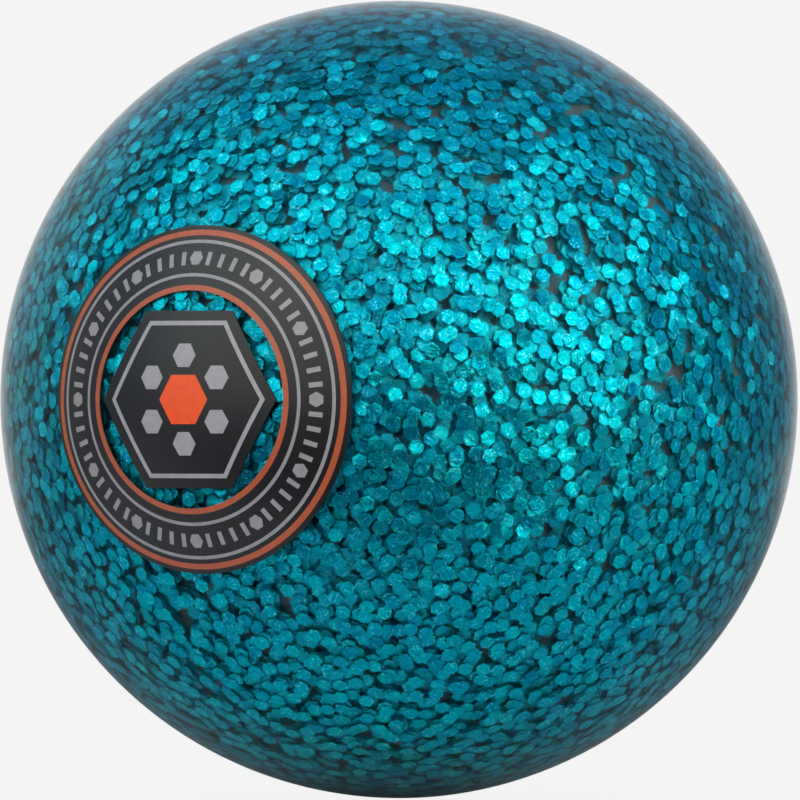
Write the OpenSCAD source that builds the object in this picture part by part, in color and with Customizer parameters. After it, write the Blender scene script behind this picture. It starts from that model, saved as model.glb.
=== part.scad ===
// Field hockey ball: a round core inside a clear cover full of foil flakes, with a printed badge.
// The ball's centre is the origin, +Z is up and the badge faces -Y. Sizes are in millimetres.

/* [Ball] */
// Outside diameter of the ball
ball_d = 73; // [71.4:0.1:74.8]
// Thickness of the clear cover round the core
cover_t = 3; // [2:0.25:5]

/* [Glitter] */
// Number of flakes modelled in the clear cover
flake_count = 900; // [80:20:900]
// Width of a flake across its flats
flake_w = 1.25; // [0.6:0.05:1.6]
// Thickness of a flake
flake_t = 0.1; // [0.05:0.01:0.2]
// Steepest lean of a flake away from lying along the surface, in degrees
flake_lean = 14; // [0:1:20]
// Clear plastic left over the shallowest flake
skin_over_flakes = 0.35; // [0.1:0.05:0.6]
// Clear plastic left under the deepest flake
bed_under_flakes = 0.3; // [0.1:0.05:0.6]
// How far a flake may sit from its even place along the surface
flake_scatter = 0.9; // [0:0.1:0.9]

/* [Badge] */
// Diameter of the badge, straight across
badge_d = 31.2; // [29:0.1:40]
// Thickness of the ink
ink_t = 0.1; // [0.05:0.01:0.2]
// Dark margin outside the outer orange ring
rim_margin = 0.4; // [0.2:0.05:0.8]
// Width of both orange rings
orange_ring_w = 0.5; // [0.3:0.05:0.9]
// Width of both grey rings
grey_ring_w = 0.3; // [0.15:0.05:0.5]
// Dark gap between the outer orange ring and the outer grey ring
outer_gap = 0.4; // [0.2:0.05:0.6]
// Dark gap between the inner grey ring and the inner orange ring
inner_gap = 0.75; // [0.3:0.05:1]
// Width of the dark band that carries the marks
band_w = 2.7; // [2:0.1:3.5]
// Number of marks round the band
mark_count = 60; // [12:6:72]
// Every so many marks, one is a small hexagon and not a tick
marks_per_dot = 5; // [2:1:10]
// Length of a tick along the radius
tick_length = 1.2; // [0.6:0.1:1.8]
// Width of a tick
tick_w = 0.45; // [0.3:0.05:0.6]
// Width of a small hexagon in the band, across its flats
dot_w = 1.2; // [0.6:0.1:1.4]

/* [Centre of the badge] */
// Gap between the inner ring and the corners of the dark hexagon
hexagon_gap = 0.6; // [0.2:0.1:1.5]
// Dark border outside the hexagon's grey outline, across the flats
hexagon_border = 0.9; // [0.5:0.1:1.4]
// Width of the hexagon's grey outline
outline_w = 0.4; // [0.2:0.05:0.7]
// Width of the orange hexagon in the middle, across its flats
middle_w = 4.4; // [3:0.1:5]
// Width of each grey hexagon round it, across its flats
petal_w = 2.1; // [1:0.1:2.4]
// Dark gap between the middle hexagon and the ones round it
petal_gap = 0.7; // [0.3:0.1:1]

/* [Hidden] */

// Curves are drawn round, apart from the hexagons
$fn = 96;
HEXAGON = 6;

// Ball radii
ball_r = ball_d / 2;
core_r = ball_r - cover_t;

// A flake's corner distance, and how far its highest corner stands from its middle when it leans
flake_corner_r = flake_w / sqrt(3);
flake_half_height = flake_corner_r * sin(flake_lean) + flake_t / 2;
// The corners of a flat flake lie a little further out than its middle
corner_rise = sqrt(pow(core_r, 2) + pow(flake_corner_r, 2)) - core_r;
flake_lowest_r = core_r + bed_under_flakes + flake_half_height;
flake_highest_r = ball_r - skin_over_flakes - flake_half_height - corner_rise;

// The turn from one flake of the spiral to the next, and steps that spread each flake's numbers evenly
GOLDEN_ANGLE = 180 * (3 - sqrt(5));
DEPTH_STEP = 0.6180340;
SHIFT_STEP = 0.7548777;
SHIFT_TURN_STEP = 0.5698403;
LEAN_STEP = 0.8191725;
LEAN_TURN_STEP = 0.6710436;
TURN_STEP = 0.5497005;

// Badge radii, from the rim inwards
badge_r = badge_d / 2;
outer_orange_r = badge_r - rim_margin;
outer_grey_r = outer_orange_r - orange_ring_w - outer_gap;
band_r = outer_grey_r - grey_ring_w;
inner_grey_r = band_r - band_w;
inner_orange_r = inner_grey_r - grey_ring_w - inner_gap;
window_r = inner_orange_r - orange_ring_w;

// Widths of the hexagons in the middle of the badge, across their flats
dark_hexagon_w = 2 * (window_r - hexagon_gap) * cos(180 / HEXAGON);
outline_outer_w = dark_hexagon_w - 2 * hexagon_border;
petal_circle_r = (middle_w + petal_w) / 2 + petal_gap;

// The part of a number after its point, which spreads evenly from 0 to 1 as i grows
function spread(i, step) = i * step - floor(i * step);

// One foil flake: a thin six-sided plate round its own middle
module flake() {
    cylinder(h = flake_t, r = flake_corner_r, center = true, $fn = HEXAGON);
}

// Flake number i, laid along the surface at its own depth, with its own turn and lean
module placed_flake(i) {
    even_polar = acos(1 - (2 * i + 1) / flake_count);
    depth_r = flake_lowest_r + (flake_highest_r - flake_lowest_r) * spread(i, DEPTH_STEP);
    shift_angle = asin(flake_scatter * sqrt(spread(i, SHIFT_STEP)) / depth_r);
    rotate([0, even_polar, i * GOLDEN_ANGLE])
    rotate([shift_angle, 0, 360 * spread(i, SHIFT_TURN_STEP)])
    translate([0, 0, depth_r])
    rotate([flake_lean * spread(i, LEAN_STEP), 0, 360 * spread(i, LEAN_TURN_STEP)])
    rotate([0, 0, 360 * spread(i, TURN_STEP)])
    flake();
}

module all_flakes() {
    for (i = [0 : flake_count - 1]) placed_flake(i);
}

// A flat ring, measured to its outer edge
module ring(outer_r, width) {
    difference() {
        circle(r = outer_r);
        circle(r = outer_r - width);
    }
}

// A hexagon with a corner on the X axis, measured across its flats
module hexagon(width) {
    circle(d = width / cos(180 / HEXAGON), $fn = HEXAGON);
}

// Ticks round the dark band, with a small hexagon at every few places
module band_marks() {
    for (i = [0 : mark_count - 1])
        rotate(i * 360 / mark_count)
        translate([0, band_r - band_w / 2])
        if (i % marks_per_dot == 0) hexagon(dot_w);
        else square([tick_w, tick_length], center = true);
}

// One grey hexagon past each flat of the middle one
module petals() {
    for (i = [0 : HEXAGON - 1])
        rotate((i + 0.5) * 360 / HEXAGON)
        translate([petal_circle_r, 0])
        rotate(180 / HEXAGON)
        hexagon(petal_w);
}

module orange_art() {
    ring(outer_orange_r, orange_ring_w);
    ring(inner_orange_r, orange_ring_w);
    hexagon(middle_w);
}

module grey_art() {
    ring(outer_grey_r, grey_ring_w);
    ring(inner_grey_r, grey_ring_w);
    band_marks();
    petals();
    difference() {
        hexagon(outline_outer_w);
        hexagon(outline_outer_w - 2 * outline_w);
    }
}

module ground_art() {
    difference() {
        union() {
            ring(badge_r, badge_r - window_r);
            hexagon(dark_hexagon_w);
        }
        orange_art();
        grey_art();
    }
}

// Ink of an even thickness over the ball's front, in the shape of a flat drawing
module printed() {
    intersection() {
        difference() {
            sphere(r = ball_r + ink_t);
            sphere(r = ball_r);
        }
        rotate([90, 0, 0]) linear_extrude(height = ball_d) children();
    }
}

module core() {
    color("#3a3639") sphere(r = core_r);
}

// The cover is moulded round the core and the flakes, so it holds a pocket for each flake
module cover() {
    color("#c8e6e8", 0.35)
    difference() {
        sphere(r = ball_r);
        sphere(r = core_r);
        all_flakes();
    }
}

module glitter_flakes() {
    color("#0d97a6") all_flakes();
}

module badge_ground() {
    color("#2a2829") printed() ground_art();
}

module badge_orange() {
    color("#e0582c") printed() orange_art();
}

module badge_grey() {
    color("#a5a0a1") printed() grey_art();
}

core();
cover();
glitter_flakes();
badge_ground();
badge_orange();
badge_grey();
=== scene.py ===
"""A field hockey ball: clear cover, thousands of foil flakes, dark core and a printed badge."""
import math

import bmesh
import bpy
import numpy as np
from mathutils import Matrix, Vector, kdtree, noise


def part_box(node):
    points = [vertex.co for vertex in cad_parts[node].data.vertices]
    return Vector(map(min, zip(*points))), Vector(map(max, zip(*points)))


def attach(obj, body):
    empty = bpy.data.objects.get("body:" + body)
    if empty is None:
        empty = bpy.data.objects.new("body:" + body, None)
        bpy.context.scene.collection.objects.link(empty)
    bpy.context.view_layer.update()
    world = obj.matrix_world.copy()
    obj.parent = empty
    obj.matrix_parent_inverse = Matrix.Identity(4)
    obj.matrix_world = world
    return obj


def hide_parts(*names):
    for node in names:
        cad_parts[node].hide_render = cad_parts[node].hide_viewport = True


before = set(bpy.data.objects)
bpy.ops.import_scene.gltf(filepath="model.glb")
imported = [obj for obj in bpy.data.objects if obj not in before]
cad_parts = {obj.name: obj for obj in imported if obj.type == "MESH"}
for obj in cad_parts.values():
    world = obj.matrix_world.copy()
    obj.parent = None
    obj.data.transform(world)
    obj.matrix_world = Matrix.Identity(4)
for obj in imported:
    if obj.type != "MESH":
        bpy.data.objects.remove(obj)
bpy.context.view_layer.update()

SEED = 256

# Sizes in metres. The ball's and the core's come from the frame.
MM = 0.001
ball_low, ball_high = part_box("cover")
BALL_R = (ball_high.z - ball_low.z) / 2
core_low, core_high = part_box("core")
CORE_R = (core_high.z - core_low.z) / 2

# Flakes, of the size and in the range of depth that the CAD node has
FLAKE_WIDTH = 1.25 * MM
FLAKE_THICKNESS = 0.1 * MM
FLAKE_CORNER_R = FLAKE_WIDTH / math.sqrt(3)
SKIN_OVER_FLAKES = 0.35 * MM
BED_UNDER_FLAKES = 0.3 * MM
CORNER_RISE = math.hypot(CORE_R, FLAKE_CORNER_R) - CORE_R
FLAKES_DROPPED = 330000
FLAKES_MOST = 30000

# How flakes gather: none where the clumping is below one value, and all above another.
# They crowd in one direction, given in degrees right of and above the camera.
CLUMP_LENGTH = 2.7 * MM
CLUMP_WAVES = 40
GAP_BELOW = -1.15
FULL_ABOVE = 0.2
CROWDED_DEG = (0, -12)
CROWDED_BY = 1.1
CROWDED_POWER = 6

# How flakes lie. Shallow ones lean more than deep ones, and a few stand nearly upright.
DEPTH_POWER = 0.75
LEAN_SPREAD_DEG = (9, 3)
LEAN_MOST_DEG = 20
UPRIGHT_SHARE = 0.006
UPRIGHT_LEAN_DEG = (30, 80)

# Corners of the CAD node closer than this are one corner.
SAME_CORNER = 0.001 * MM

# The ranges of depth, each a piece with its own foil. Depth is 0 in the shallowest, 1 in the deepest.
DEPTHS = 6
SEATED_DEPTH = 0.4

# The range that most of a noise texture lies in
NOISE_RANGE = (0.3, 0.7)

# Foil: its tones as green and blue, and what each loses with depth, as painted shade
DARK_FILM = ((0.26, 0.39), (0.0, 0.01))
PLAIN_FILM = ((0.36, 0.48), (0.0, 0.01))
BRIGHT_FILM = ((0.44, 0.51), (0.03, 0.03))
TONE_STOPS = (0.0, 0.26, 1.0)
DEEP_PAINTED_SHADE = 0.27
DEEP_RED = 0.02
DEEP_SHARED_TONE = 0.8
FILM_CLOUD_SCALE = 700.0

# Foil: its fine marks on a sheet measured in millimetres. Along them its colour gets painted light and
# shade, and painted glints and sparks on the highest.
SHEETS_APART = 900
CHANCE_STEP = 7.0
CHANCE_RANGE = (0.1, 0.9)
CREASE_SCALE = 5.0
CREASE_STRETCH = (1.0, 0.35, 1.0)
CREASE_SHARE = 0.55
MOTTLE_SCALE = 6.0
LEAST_CRINKLED = 0.6
DEEP_MARKS_LOST = 0.7
# Painted light and shade: the colour is lightened and darkened along the crinkle marks
CRINKLE_PAINTED_LIGHT_MARKS = (0.36, 0.64)
CRINKLE_PAINTED_LIGHT_GAIN = 0.34
# Painted highlights: glints and sparks painted on the highest marks
PAINTED_GLINT_MARKS = (0.54, 0.64)
PAINTED_GLINT_SHARE = 0.32
PAINTED_GLINT = (0.0, 0.85, 0.84, 1)
PAINTED_SPARK_MARKS = (0.58, 0.66)
PAINTED_SPARK_SHARE = 0.28
PAINTED_SPARK = (0.6, 1.0, 1.0, 1)

# Foil: its relief in millimetres, and how it shines. The rim's value is 1 at a flake's edge.
RIM_EDGE = (0.86, 0.97)
CRINKLE_HEIGHT = 0.065
BEND_SCALE = 0.8
BEND_HEIGHT = 0.2
EDGE_DROP = 0.01
EDGE_METAL = 0.65
DEEP_METAL_LOST = 0.35
FOIL_ROUGHNESS = 0.31
DEEP_ROUGHNESS_ADDED = 0.2
DULL_SPECULAR = 0.1

# Cover. Part of what is seen through it is hazy, and it shines towards its outline.
INNER_WALL_GAP = 0.03 * MM
RIPPLE_DEPTH = 0.015 * MM
RIPPLE_LENGTH = 9 * MM
COVER_IOR = 1.5
SHARP_ROUGHNESS = 0.265
HAZY_ROUGHNESS = 0.6
HAZY_SHARE = 0.23
SHINE_ROUGHNESS = 0.26
SHINE_IOR = 1.33
SHINE_LESS = 0.045

# Core. Its tones hold painted light: a teal tint and lightness for the light that the film round it
# throws on it.
CORE_TONES_WITH_PAINTED_LIGHT = [(0.4, (0.21, 0.27, 0.3)), (0.6, (0.12, 0.3, 0.35))]
CORE_ROUGHNESS = 0.7
GRAIN_SCALE = 900.0
GRAIN_DEPTH = 0.1 * MM
GRAIN_STRENGTH = 0.5

# Badge. Its middle holds the hexagons. Ink on the rings lies thinner than there.
MIDDLE_REACH = 7.5 * MM
RINGS_START = 9 * MM
BLACK = (0.01, 0.0075, 0.0073)
ORANGE = (1.0, 0.09, 0.008)
THIN_ORANGE = (0.465, 0.095, 0.034)
GREY = (0.385, 0.35, 0.37)
THIN_GREY = (0.32, 0.29, 0.3)
INK_ROUGHNESS = 0.35
INK_UNEVEN = (0.93, 1.05)
INK_CLOUD_SCALE = 1400.0
INK_RELIEF = 0.02 * MM
INK_RELIEF_STRENGTH = 0.3

# The photograph: the ball is a circle of this centre and radius in an 800 pixel frame.
FRAME_PX = 800
BALL_CENTRE_PX = (399.0, 399.5)
BALL_RADIUS_PX = 398.8
CAMERA_AZIMUTH_DEG = 31.8
CAMERA_DISTANCE = 1.2
SENSOR_MM = 36
CLIP_NEAR = 0.1
CLIP_FAR = 20

# Lamps: name, degrees right of and above the camera, distance, size and brightness, where 1 is white
LAMP_COLOUR = (1.0, 1.0, 0.775)
LAMPS = [
    ("key", 40, 19, 0.9, 1.0, 1.9),
    ("key_middle", 38, 19, 0.8, 0.45, 0.75),
    ("fill", -42, 31, 0.9, 1.15, 1.22),
    ("fill_middle", -33, 31.7, 0.8, 0.3, 1.0),
    ("side", -122, 14, 0.9, 0.7, 0.4),
]

# The room's colour, from its dark side at 0 round to the far side at 1
DARK_SIDE_DEG = (4, -16)
ROOM = [
    (0.0, (0.0, 0.02, 0.15)),
    (0.06, (0.0, 0.03, 0.17)),
    (0.22, (0.04, 0.15, 0.31)),
    (0.5, (0.344, 0.43, 0.516)),
    (0.64, (0.329, 0.35, 0.371)),
    (0.76, (0.15, 0.15, 0.15)),
    (0.9, (0.28, 0.28, 0.28)),
    (1.0, (0.5, 0.5, 0.5)),
]

# The room's colour is multiplied by one tint low down and by the other high up.
LOW_TINT = (0.33, 0.34, 0.4, 1)
HIGH_TINT = (1.15, 1.3, 1.65, 1)
TINT_HEIGHTS = (-0.25, 0.4)

# Backdrop: its soft edge, where 1 is straight behind the ball, and its tone
BACKDROP_EDGE = (0.84, 0.97)
PAPER = 0.905

# Floor, from in front of the ball to far behind it. The camera sees it run into the backdrop.
FLOOR_FRONT = 0.07
FLOOR_SIDE = 0.25
FLOOR_BACK = 4.0
# The floor's paint is pale in front of the ball and darker behind it: the darker paint is painted shade,
# seen in the flakes
FLOOR_PAINT_FRONT = 0.72
FLOOR_PAINTED_SHADE_BACK = 0.3
FLOOR_PAINT_CHANGE = (-0.02, 0.03)
FLOOR_PAINT_SEEN = 0.2
FLOOR_GLOW = (1.078, 1.076, 1.074)
FLOOR_EDGE_FROM = 0.03
SHADOW_SHARE = 0.18
SHADOW_FADE = (0.06, 0.15)
GLOSS_FLOOR_FADE = (0.15, 0.5)


def from_camera(azimuth_deg, elevation_deg):
    """The unit direction that lies so far right of and above the camera, seen from the ball."""
    azimuth = math.radians(azimuth_deg + CAMERA_AZIMUTH_DEG)
    elevation = math.radians(elevation_deg)
    flat = math.cos(elevation)
    return Vector((math.sin(azimuth) * flat, -math.cos(azimuth) * flat, math.sin(elevation)))


def even(level):
    """A colour with no hue."""
    return (level, level, level, 1)


def add_object(name, data):
    made = bpy.data.objects.new(name, data)
    bpy.context.scene.collection.objects.link(made)
    return made


# Node helpers


class Tree:
    """A material's or a world's nodes, added and joined in short calls."""

    def __init__(self, owner):
        owner.use_nodes = True
        self.tree = owner.node_tree
        self.tree.nodes.clear()

    def node(self, kind, inputs=None, **settings):
        made = self.tree.nodes.new(kind)
        for name, value in settings.items():
            setattr(made, name, value)
        for name, value in (inputs or {}).items():
            self.feed(made.inputs[name], value)
        return made

    def feed(self, socket, value):
        """Joins a node or a node's output to a socket, or sets the socket to a plain value."""
        if isinstance(value, bpy.types.NodeSocket):
            self.tree.links.new(value, socket)
        elif isinstance(value, bpy.types.Node):
            self.tree.links.new(value.outputs[0], socket)
        else:
            socket.default_value = value

    def math(self, operation, *values, clamp=False):
        made = self.node("ShaderNodeMath", operation=operation, use_clamp=clamp)
        for socket, value in zip(made.inputs, values):
            self.feed(socket, value)
        return made.outputs[0]

    def vector(self, operation, *values, output="Vector"):
        made = self.node("ShaderNodeVectorMath", operation=operation)
        for socket, value in zip(made.inputs, values):
            self.feed(socket, value)
        return made.outputs[output]

    def scaled(self, colour, factor):
        made = self.node("ShaderNodeVectorMath", {0: colour, "Scale": factor}, operation="SCALE")
        return made.outputs["Vector"]

    def span(self, value, low, high, to_low=0.0, to_high=1.0):
        """The value's place between low and high, eased in and out, on a scale of its own."""
        made = self.node(
            "ShaderNodeMapRange",
            {"Value": value, "From Min": low, "From Max": high, "To Min": to_low, "To Max": to_high},
            interpolation_type="SMOOTHSTEP",
        )
        return made.outputs["Result"]

    def ramp(self, factor, stops):
        made = self.node("ShaderNodeValToRGB", {"Fac": factor})
        elements = made.color_ramp.elements
        while len(elements) < len(stops):
            elements.new(0.5)
        for element, (place, colour) in zip(elements, stops):
            element.position = place
            element.color = (*colour, 1)
        return made.outputs["Color"]

    def blend(self, share, first, second):
        """Two colours mixed."""
        made = self.node("ShaderNodeMix", data_type="RGBA", blend_type="MIX")
        self.feed(made.inputs["Factor"], share)
        self.feed(made.inputs["A"], first)
        self.feed(made.inputs["B"], second)
        return made.outputs["Result"]

    def mixed(self, share, first, second):
        """Two shaders mixed."""
        return self.node("ShaderNodeMixShader", {0: share, 1: first, 2: second})

    def texture(self, place, scale, detail=2.0, roughness=0.5):
        inputs = {"Vector": place, "Scale": scale, "Detail": detail, "Roughness": roughness}
        return self.node("ShaderNodeTexNoise", inputs).outputs["Fac"]

    def bump(self, height, distance, strength=1.0):
        inputs = {"Height": height, "Distance": distance, "Strength": strength}
        return self.node("ShaderNodeBump", inputs)

    def attribute(self, name, output):
        return self.node("ShaderNodeAttribute", attribute_name=name).outputs[output]

    def place(self):
        """Where a point lies on the object, in metres."""
        return self.node("ShaderNodeTexCoord").outputs["Object"]

    def ray(self):
        return self.node("ShaderNodeLightPath").outputs

    def surface(self, shader):
        self.node("ShaderNodeOutputMaterial", {"Surface": shader})


def material(name):
    made = bpy.data.materials.new(name)
    return made, Tree(made)


# Camera, light and surroundings


def make_camera():
    """A long lens level with the ball's middle, framed as the photograph is."""
    data = bpy.data.cameras.new("camera")
    data.sensor_width = SENSOR_MM
    seen_radius = BALL_R / math.sqrt(CAMERA_DISTANCE**2 - BALL_R**2)
    half_frame = seen_radius * (FRAME_PX / 2) / BALL_RADIUS_PX
    data.lens = data.sensor_width / 2 / half_frame
    data.clip_start = CLIP_NEAR
    data.clip_end = CLIP_FAR
    back = from_camera(0, 0)
    right = Vector((-back.y, back.x, 0))
    pixel = BALL_R / BALL_RADIUS_PX
    aside = right * (FRAME_PX / 2 - BALL_CENTRE_PX[0]) * pixel
    upward = Vector((0, 0, 1)) * (BALL_CENTRE_PX[1] - FRAME_PX / 2) * pixel
    camera = add_object("camera", data)
    camera.location = back * CAMERA_DISTANCE + aside + upward
    camera.rotation_mode = "QUATERNION"
    camera.rotation_quaternion = (-back).to_track_quat("-Z", "Y")
    bpy.context.scene.camera = camera


def softbox(name, azimuth_deg, elevation_deg, distance, size, brightness):
    """A square lamp that faces the ball."""
    data = bpy.data.lights.new(name, "AREA")
    data.shape = "SQUARE"
    data.size = size
    data.energy = brightness * math.pi * size**2
    data.color = LAMP_COLOUR
    lamp = add_object(name, data)
    towards = from_camera(azimuth_deg, elevation_deg)
    lamp.location = towards * distance
    lamp.rotation_mode = "QUATERNION"
    lamp.rotation_quaternion = towards.to_track_quat("Z", "Y")


def make_world():
    """A pale backdrop behind the ball, and a room that is dark round the camera."""
    world = bpy.data.worlds.new("studio")
    bpy.context.scene.world = world
    tree = Tree(world)
    way = tree.node("ShaderNodeTexCoord").outputs["Generated"]

    def towards(direction):
        return tree.vector("DOT_PRODUCT", way, direction, output="Value")

    from_dark = tree.math("MULTIPLY_ADD", towards(from_camera(*DARK_SIDE_DEG)), -0.5, 0.5)
    overhead = tree.span(towards(Vector((0, 0, 1))), *TINT_HEIGHTS)
    tint = tree.blend(overhead, LOW_TINT, HIGH_TINT)
    room = tree.vector("MULTIPLY", tree.ramp(from_dark, ROOM), tint)
    backdrop = tree.span(towards(from_camera(180, 0)), *BACKDROP_EDGE)
    wall = tree.blend(backdrop, room, even(PAPER))
    light = tree.node("ShaderNodeBackground", {"Color": wall, "Strength": 1.0})
    paper = tree.node("ShaderNodeBackground", {"Color": even(PAPER), "Strength": 1.0})
    look = tree.mixed(tree.ray()["Is Camera Ray"], light, paper)
    tree.node("ShaderNodeOutputWorld", {"Surface": look})


def pale_floor(away):
    """Paint to light, darker behind the ball as painted shade. The camera sees a faint shadow by the
    ball and the backdrop farther off.
    """
    made, tree = material("floor")
    place = tree.place()
    out = tree.vector("LENGTH", place, output="Value")
    behind = tree.vector("DOT_PRODUCT", place, away, output="Value")
    far = tree.span(out, *SHADOW_FADE)
    far = tree.math("MAXIMUM", far, tree.span(behind, -FLOOR_EDGE_FROM, -FLOOR_FRONT))
    farther = tree.span(out, *GLOSS_FLOOR_FADE)
    # Darker paint behind the ball: painted shade
    tone = tree.span(behind, *FLOOR_PAINT_CHANGE, FLOOR_PAINT_FRONT, FLOOR_PAINTED_SHADE_BACK)
    paint = tree.node("ShaderNodeBsdfDiffuse", {"Color": tone})
    glow = tree.node("ShaderNodeEmission", {"Color": (*FLOOR_GLOW, 1), "Strength": 1.0})
    shaded = tree.node("ShaderNodeBsdfDiffuse", {"Color": even(FLOOR_PAINT_SEEN)})
    lifted = tree.mixed(SHADOW_SHARE, glow, shaded)
    paper = tree.node("ShaderNodeEmission", {"Color": even(PAPER), "Strength": 1.0})
    ray = tree.ray()
    near_look = tree.mixed(ray["Is Camera Ray"], paint, lifted)
    by_gloss = tree.math("MAXIMUM", ray["Is Glossy Ray"], ray["Is Transmission Ray"])
    share = tree.math("MULTIPLY", farther, by_gloss)
    share = tree.math("MULTIPLY_ADD", far, ray["Is Camera Ray"], share)
    tree.surface(tree.mixed(share, near_look, paper))
    return made


def make_floor():
    """A pale table that the ball just touches. Away from the ball it runs into the backdrop."""
    mesh = bpy.data.meshes.new("floor")
    right, away = from_camera(90, 0), from_camera(180, 0)
    down = Vector((0, 0, -BALL_R))
    ends, sides = (-FLOOR_FRONT, FLOOR_BACK), (-FLOOR_SIDE, FLOOR_SIDE)
    corners = [right * x + away * y + down for y in ends for x in sides]
    mesh.from_pydata(corners, [], [(0, 1, 3, 2)])
    mesh.materials.append(pale_floor(away))
    floor = add_object("floor", mesh)


# Flakes. A set of flakes is an array of middles and one of axes: length, width and normal.

angles = np.arange(6) * math.pi / 3
HEXAGON = np.stack([np.cos(angles), np.sin(angles)], 1)


def unit(vectors):
    return vectors / np.linalg.norm(vectors, axis=-1, keepdims=True)


def side_by_side(vectors):
    """For each unit vector, two more that make a right-angled frame with it."""
    helper = np.where(np.abs(vectors[:, 2:]) < 0.9, [[0.0, 0.0, 1.0]], [[1.0, 0.0, 0.0]])
    first = unit(np.cross(helper, vectors))
    return first, np.cross(vectors, first)


def turned(first, second, angle):
    """The direction at an angle from the first of each pair towards the second."""
    return first * np.cos(angle)[:, None] + second * np.sin(angle)[:, None]


def seated_flakes():
    """The flakes of the CAD node, each read back from its corners."""
    shape = bmesh.new()
    shape.from_mesh(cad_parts["glitter_flakes"].data)
    bmesh.ops.remove_doubles(shape, verts=shape.verts, dist=SAME_CORNER)
    seen, middles, axes = set(), [], []
    for first in shape.verts:
        if first in seen:
            continue
        island, waiting = [], [first]
        seen.add(first)
        while waiting:
            corner = waiting.pop()
            island.append(corner.co.copy())
            for edge in corner.link_edges:
                other = edge.other_vert(corner)
                if other not in seen:
                    seen.add(other)
                    waiting.append(other)
        points = np.array(island)
        middle = points.mean(0)
        spread = points - middle
        normal = np.linalg.svd(spread)[2][2]
        normal *= np.sign(normal @ middle)
        farthest = spread[np.argmax(np.linalg.norm(spread, axis=1))]
        length = unit(farthest - normal * (farthest @ normal))
        middles.append(middle)
        axes.append([length, np.cross(normal, length), normal])
    shape.free()
    return np.array(middles), np.array(axes)


def clumping(rng, places):
    """A smooth random field, near 0 on average. Flakes gather where it is high."""
    waves = unit(rng.normal(size=(CLUMP_WAVES, 3))) * 2 * math.pi / CLUMP_LENGTH
    starts = rng.uniform(0, 2 * math.pi, CLUMP_WAVES)
    return np.cos(places @ waves.T + starts).sum(1) * math.sqrt(2 / CLUMP_WAVES)


def dropped_flakes(rng, count):
    """Flakes at random places in the cover, most of them lying nearly flat."""
    outward = unit(rng.normal(size=(count, 3)))
    crowd = clumping(rng, outward * BALL_R)
    facing = np.clip(outward @ np.array(from_camera(*CROWDED_DEG)), 0, 1)
    crowd += CROWDED_BY * facing**CROWDED_POWER
    outward = outward[rng.uniform(GAP_BELOW, FULL_ABOVE, count) < crowd]
    count = len(outward)
    first, second = side_by_side(outward)
    depth = rng.uniform(0, 1, count) ** DEPTH_POWER
    spread = np.radians(np.interp(depth, (0, 1), LEAN_SPREAD_DEG))
    lean = spread * np.sqrt(-2 * np.log(1 - rng.uniform(0, 1, count)))
    lean = np.minimum(lean, math.radians(LEAN_MOST_DEG))
    steep = np.radians(rng.uniform(*UPRIGHT_LEAN_DEG, count))
    lean = np.where(rng.uniform(0, 1, count) < UPRIGHT_SHARE, steep, lean)
    aside = turned(first, second, rng.uniform(0, 2 * math.pi, count))
    normal = outward * np.cos(lean)[:, None] + aside * np.sin(lean)[:, None]
    first, second = side_by_side(normal)
    length = turned(first, second, rng.uniform(0, 2 * math.pi, count))
    half_height = FLAKE_CORNER_R * np.sin(lean) + FLAKE_THICKNESS / 2
    lowest = CORE_R + BED_UNDER_FLAKES + half_height
    highest = BALL_R - SKIN_OVER_FLAKES - half_height - CORNER_RISE
    reach = highest + (lowest - highest) * depth
    return outward * reach[:, None], np.stack([length, np.cross(normal, length), normal], 1)


def kept_flakes(middles, axes):
    """The flakes that stay, taken in order, so that none cuts into one before it."""
    count = len(middles)
    corners = middles[:, None] + FLAKE_CORNER_R * np.einsum("kc,nca->nka", HEXAGON, axes[:, :2])
    normals = axes[:, 2]
    tree = kdtree.KDTree(count)
    for i, middle in enumerate(middles):
        tree.insert(middle, i)
    tree.balance()
    free = np.ones(count, bool)
    kept = []
    for i in range(count):
        if not free[i]:
            continue
        kept.append(i)
        if len(kept) == FLAKES_MOST:
            break
        near = np.array([j for _, j, _ in tree.find_range(middles[i], 2 * FLAKE_CORNER_R)])
        near = near[(near > i) & free[near]]
        over_this = (corners[near] - middles[i]) @ normals[i]
        over_that = np.einsum("mka,ma->mk", corners[i] - middles[near, None], normals[near])
        apart = clear_of(over_this) | clear_of(over_that)
        free[near[~apart]] = False
    return kept


def clear_of(heights):
    """Whether a flake's corners all stand on one side of another flake."""
    return (heights.min(1) > FLAKE_THICKNESS) | (heights.max(1) < -FLAKE_THICKNESS)


# The corners of one flake: 0 to 5 round its outer face, 6 to 11 round its inner face,
# and 12 in the middle of the outer face
ONE_FLAKE = [[(i + 1) % 6, 12, i] for i in range(6)] + [[11, 10, 9, 8, 7, 6]]
ONE_FLAKE += [[i, i + 6, (i + 1) % 6 + 6, (i + 1) % 6] for i in range(6)]


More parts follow.
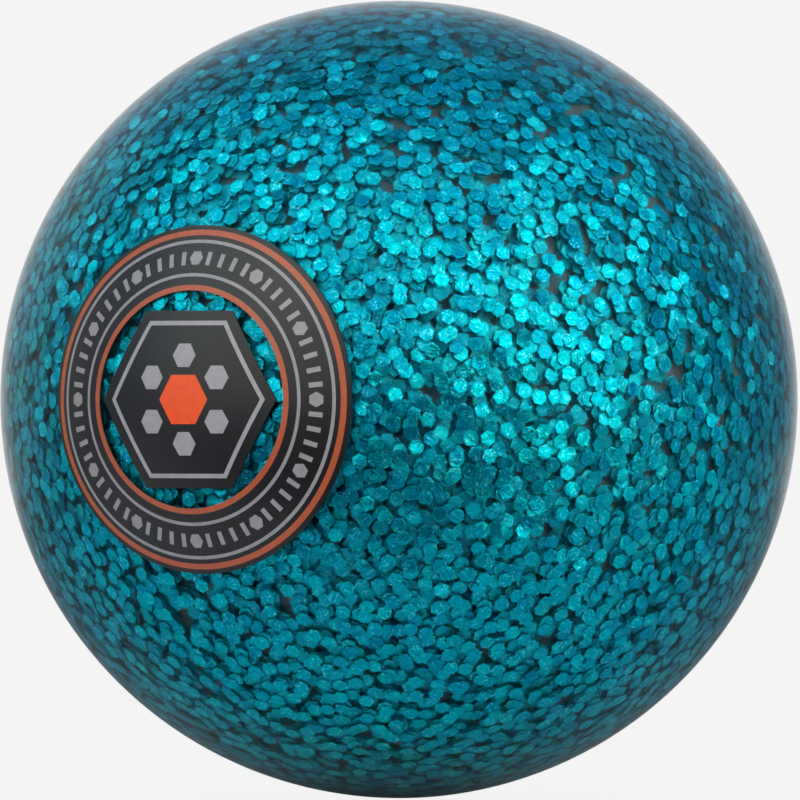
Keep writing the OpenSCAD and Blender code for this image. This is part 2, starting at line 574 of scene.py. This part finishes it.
def flake_piece(name, rng, middles, axes, look):
    """One piece: a group of separate six-sided plates. Each has its own tone and crinkle."""
    count = len(middles)
    length, width, normal = axes[:, 0, None], axes[:, 1, None], axes[:, 2, None]
    flat = HEXAGON[:, 0, None] * length + HEXAGON[:, 1, None] * width
    ring = middles[:, None] + FLAKE_CORNER_R * flat
    rise = normal * FLAKE_THICKNESS / 2
    vertices = np.concatenate([ring + rise, ring - rise, middles[:, None] + rise], 1)
    per_flake = vertices.shape[1]
    faces = [[per_flake * k + i for i in face] for k in range(count) for face in ONE_FLAKE]
    mesh = bpy.data.meshes.new(name)
    mesh.from_pydata(vertices.reshape(-1, 3).tolist(), [], faces)
    on_flake = np.concatenate([HEXAGON, HEXAGON, [[0, 0]]])
    add_number(mesh, "tone", np.repeat(rng.uniform(0, 1, count), per_flake))
    add_number(mesh, "rim", np.tile([1.0] * 12 + [0.0], count))
    add_sheet(mesh, rng, on_flake * FLAKE_CORNER_R / MM, count)
    add_cells(mesh, on_flake, count)
    mesh.materials.append(look)
    piece = add_object(name, mesh)
    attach(piece, "root")
    return piece


def add_number(mesh, name, values):
    mesh.attributes.new(name, "FLOAT", "POINT").data.foreach_set("value", values.astype(np.float32))


def add_sheet(mesh, rng, on_flake, count):
    """Where each point lies on its own flake in millimetres, on a sheet turned at random."""
    turn = rng.uniform(0, 2 * math.pi, count)[:, None]
    across = on_flake[:, 0] * np.cos(turn) - on_flake[:, 1] * np.sin(turn)
    along = on_flake[:, 0] * np.sin(turn) + on_flake[:, 1] * np.cos(turn)
    apart = np.broadcast_to(rng.uniform(0, SHEETS_APART, count)[:, None], across.shape)
    places = np.stack([across, along, apart], 2).astype(np.float32)
    mesh.attributes.new("sheet", "FLOAT_VECTOR", "POINT").data.foreach_set("vector", places.ravel())


def add_cells(mesh, on_flake, count):
    """A flat map with two cells a flake: one for its outer face and sides, one for its inner face."""
    face_r, sides_r = 0.38, 0.46
    outer_cell, inner_cell = (0.5, 0.5), (1.5, 0.5)
    spots = []
    for face in ONE_FLAKE:
        cell = inner_cell if len(face) == 6 else outer_cell
        for i in face:
            side_edge = len(face) == 4 and i >= 6
            spots.append(on_flake[i] * (sides_r if side_edge else face_r) + cell)
    columns = math.ceil(math.sqrt(count / 2))
    first_cell = np.stack([np.arange(count) % columns * 2, np.arange(count) // columns], 1)
    spots = (first_cell[:, None] + np.array(spots)[None]) / (2 * columns)
    layer = mesh.uv_layers.new(name="OFBake")
    layer.uv.foreach_set("vector", spots.astype(np.float32).ravel())


# Materials


def film_colour(film, depth):
    """One of the foil's tones. It is painted darker with depth, as painted shade deep in the cover, and
    gains a little red.
    """
    (green, blue), (green_painted_shade, blue_painted_shade) = film
    # Painted shade: the tone darkens with depth
    painted_shade_factor = 1 - DEEP_PAINTED_SHADE * depth
    return (DEEP_RED * depth**2, (green - green_painted_shade * depth) * painted_shade_factor, (blue - blue_painted_shade * depth) * painted_shade_factor)


def film_tone(tree, depth):
    """From 0 to 1. A shallow flake has a tone of its own, and a deep one the tone of those round it."""
    shared = DEEP_SHARED_TONE * depth
    cloud = tree.span(tree.texture(tree.place(), FILM_CLOUD_SCALE, 1.0), *NOISE_RANGE)
    own = tree.math("MULTIPLY", tree.attribute("tone", "Fac"), 1 - shared)
    return tree.math("MULTIPLY_ADD", cloud, shared, own)


def crinkle_marks(tree, sheet):
    """Fine creases and mottling, as a value near 0.5."""
    stretched = tree.vector("MULTIPLY", sheet, CREASE_STRETCH)
    creases = tree.math("MULTIPLY", tree.texture(stretched, CREASE_SCALE, 2.0, 0.6), CREASE_SHARE)
    mottle = tree.texture(sheet, MOTTLE_SCALE, 1.0)
    return tree.math("MULTIPLY_ADD", mottle, 1 - CREASE_SHARE, creases)


def foil_paint(tree, depth, marks, crinkled):
    """The film's tone, with painted light and shade along the marks, and painted glints and sparks on
    the highest.
    """
    films = [film_colour(film, depth) for film in (DARK_FILM, PLAIN_FILM, BRIGHT_FILM)]
    paint = tree.ramp(film_tone(tree, depth), list(zip(TONE_STOPS, films)))
    strength = tree.math("MULTIPLY", crinkled, 1 - DEEP_MARKS_LOST * depth)
    # Painted light and shade along the crinkle marks
    painted_crinkle_light = tree.math("MULTIPLY", tree.span(marks, *CRINKLE_PAINTED_LIGHT_MARKS, -1.0, 1.0), strength)
    paint = tree.scaled(paint, tree.math("MULTIPLY_ADD", painted_crinkle_light, CRINKLE_PAINTED_LIGHT_GAIN, 1.0))
    # Painted highlights: glints and sparks painted on the highest marks
    painted_glint_mask = tree.math("MULTIPLY", tree.span(marks, *PAINTED_GLINT_MARKS), strength)
    paint = tree.blend(tree.math("MULTIPLY", painted_glint_mask, PAINTED_GLINT_SHARE), paint, PAINTED_GLINT)
    painted_spark_mask = tree.math("MULTIPLY", tree.span(marks, *PAINTED_SPARK_MARKS), strength)
    return tree.blend(tree.math("MULTIPLY", painted_spark_mask, PAINTED_SPARK_SHARE), paint, PAINTED_SPARK)


def foil(name, depth):
    """Crinkled teal film. Deeper flakes are painted darker as painted shade, and are duller, plainer and
    less like mirrors.
    """
    made, tree = material(name)
    sheet = tree.attribute("sheet", "Vector")
    apart = tree.node("ShaderNodeSeparateXYZ", {0: sheet}).outputs["Z"]
    by_chance = tree.math("FRACT", tree.math("MULTIPLY", apart, CHANCE_STEP))
    crinkled = tree.span(by_chance, *CHANCE_RANGE, LEAST_CRINKLED, 1.0)
    marks = crinkle_marks(tree, sheet)
    edge = tree.span(tree.attribute("rim", "Fac"), *RIM_EDGE)
    height = tree.math("MULTIPLY", tree.math("MULTIPLY", marks, crinkled), CRINKLE_HEIGHT)
    height = tree.math("MULTIPLY_ADD", tree.texture(sheet, BEND_SCALE, 0.0), BEND_HEIGHT, height)
    height = tree.math("MULTIPLY_ADD", edge, -EDGE_DROP, height)
    middle_metal = 1 - DEEP_METAL_LOST * depth
    inputs = {
        "Base Color": foil_paint(tree, depth, marks, crinkled),
        "Metallic": tree.math("MULTIPLY_ADD", edge, EDGE_METAL - middle_metal, middle_metal),
        "Roughness": FOIL_ROUGHNESS + DEEP_ROUGHNESS_ADDED * depth,
        "Specular IOR Level": DULL_SPECULAR,
        "Normal": tree.bump(height, MM),
    }
    tree.surface(tree.node("ShaderNodeBsdfPrincipled", inputs))
    return made


def clear_cover():
    """Clear plastic: bends what the camera sees, and lets the lamps through."""
    made, tree = material("clear_cover")
    sharp = tree.node("ShaderNodeBsdfRefraction", {"Roughness": SHARP_ROUGHNESS, "IOR": COVER_IOR})
    hazy = tree.node("ShaderNodeBsdfRefraction", {"Roughness": HAZY_ROUGHNESS, "IOR": COVER_IOR})
    shine = tree.node("ShaderNodeBsdfGlossy", {"Roughness": SHINE_ROUGHNESS})
    edge = tree.node("ShaderNodeFresnel", {"IOR": SHINE_IOR})
    edge = tree.math("MULTIPLY_ADD", edge, 1 + SHINE_LESS, -SHINE_LESS, clamp=True)
    glass = tree.mixed(edge, tree.mixed(HAZY_SHARE, sharp, hazy), shine)
    through = tree.node("ShaderNodeBsdfTransparent")
    tree.surface(tree.mixed(tree.ray()["Is Camera Ray"], through, glass))
    return made


def core_composite():
    """Grey composite with pale specks of cork, painted teal and lighter as painted light from the film
    round it.
    """
    made, tree = material("core_composite")
    grain = tree.texture(tree.place(), GRAIN_SCALE, 4.0)
    # The base colour holds painted light: a teal tint and lightness for the light the film throws on the
    # core
    inputs = {
        "Base Color": tree.ramp(grain, CORE_TONES_WITH_PAINTED_LIGHT),
        "Roughness": CORE_ROUGHNESS,
        "Specular IOR Level": DULL_SPECULAR,
        "Normal": tree.bump(grain, GRAIN_DEPTH, GRAIN_STRENGTH),
    }
    tree.surface(tree.node("ShaderNodeBsdfPrincipled", inputs))
    return made


def ink(name, middle, rings):
    """Satin print with a faint unevenness."""
    made, tree = material(name)
    place = tree.place()
    cloud = tree.texture(place, INK_CLOUD_SCALE, 3.0)
    out = tree.vector("LENGTH", tree.vector("MULTIPLY", place, (1, 0, 1)), output="Value")
    on_rings = tree.span(out, MIDDLE_REACH, RINGS_START)
    paint = tree.blend(on_rings, (*middle, 1), (*rings, 1))
    inputs = {
        "Base Color": tree.scaled(paint, tree.span(cloud, *NOISE_RANGE, *INK_UNEVEN)),
        "Roughness": INK_ROUGHNESS,
        "Normal": tree.bump(cloud, INK_RELIEF, INK_RELIEF_STRENGTH),
    }
    tree.surface(tree.node("ShaderNodeBsdfPrincipled", inputs))
    return made


def wear(node, made):
    """Gives a CAD node that keeps its shape a better material."""
    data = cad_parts[node].data
    data.materials.clear()
    data.materials.append(made)


# Pieces


def make_cover():
    """The cover as one closed shell: a faintly rippled outside, and an inside just clear of the core."""
    shape = bmesh.new()
    outside = bmesh.ops.create_icosphere(shape, subdivisions=6, radius=1)["verts"]
    for vertex in outside:
        ripple = noise.noise(vertex.co * (BALL_R / RIPPLE_LENGTH))
        vertex.co *= BALL_R - RIPPLE_DEPTH * (1 + ripple) / 2
    inner_r = CORE_R + INNER_WALL_GAP
    inside = bmesh.ops.create_icosphere(shape, subdivisions=5, radius=inner_r)["verts"]
    walls = {face for vertex in inside for face in vertex.link_faces}
    bmesh.ops.reverse_faces(shape, faces=list(walls))
    mesh = bpy.data.meshes.new("clear_cover")
    shape.to_mesh(mesh)
    shape.free()
    mesh.polygons.foreach_set("use_smooth", [True] * len(mesh.polygons))
    mesh.materials.append(clear_cover())
    piece = add_object("clear_cover", mesh)
    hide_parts("cover")
    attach(piece, "root")


def make_glitter():
    """The CAD node's flakes, and the rest dropped in round them, in a piece for each range of depth."""
    rng = np.random.default_rng(SEED)
    seated, seated_axes = seated_flakes()
    dropped, dropped_axes = dropped_flakes(rng, FLAKES_DROPPED)
    middles = np.concatenate([seated, dropped])
    axes = np.concatenate([seated_axes, dropped_axes])
    kept = kept_flakes(middles, axes)
    rest = np.array([i for i in kept if i >= len(seated)])
    depth = BALL_R - np.linalg.norm(middles[rest], axis=1)
    shallow, deep = SKIN_OVER_FLAKES, BALL_R - CORE_R - BED_UNDER_FLAKES
    band = np.clip((depth - shallow) / (deep - shallow) * DEPTHS, 0, DEPTHS - 1).astype(int)
    for k in range(DEPTHS):
        group = rest[band == k]
        look = foil(f"foil_{k + 1}", k / (DEPTHS - 1))
        flake_piece(f"glitter_depth_{k + 1}", rng, middles[group], axes[group], look)
    piece = flake_piece("glitter_seated", rng, seated, seated_axes, foil("foil_seated", SEATED_DEPTH))
    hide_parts("glitter_flakes")


make_camera()
make_world()
make_floor()
for lamp in LAMPS:
    softbox(*lamp)
wear("core", core_composite())
make_glitter()
make_cover()
wear("badge_ground", ink("black_ink", BLACK, BLACK))
wear("badge_orange", ink("orange_ink", ORANGE, THIN_ORANGE))
wear("badge_grey", ink("grey_ink", GREY, THIN_GREY))

bpy.context.scene.view_settings.view_transform = "Standard"
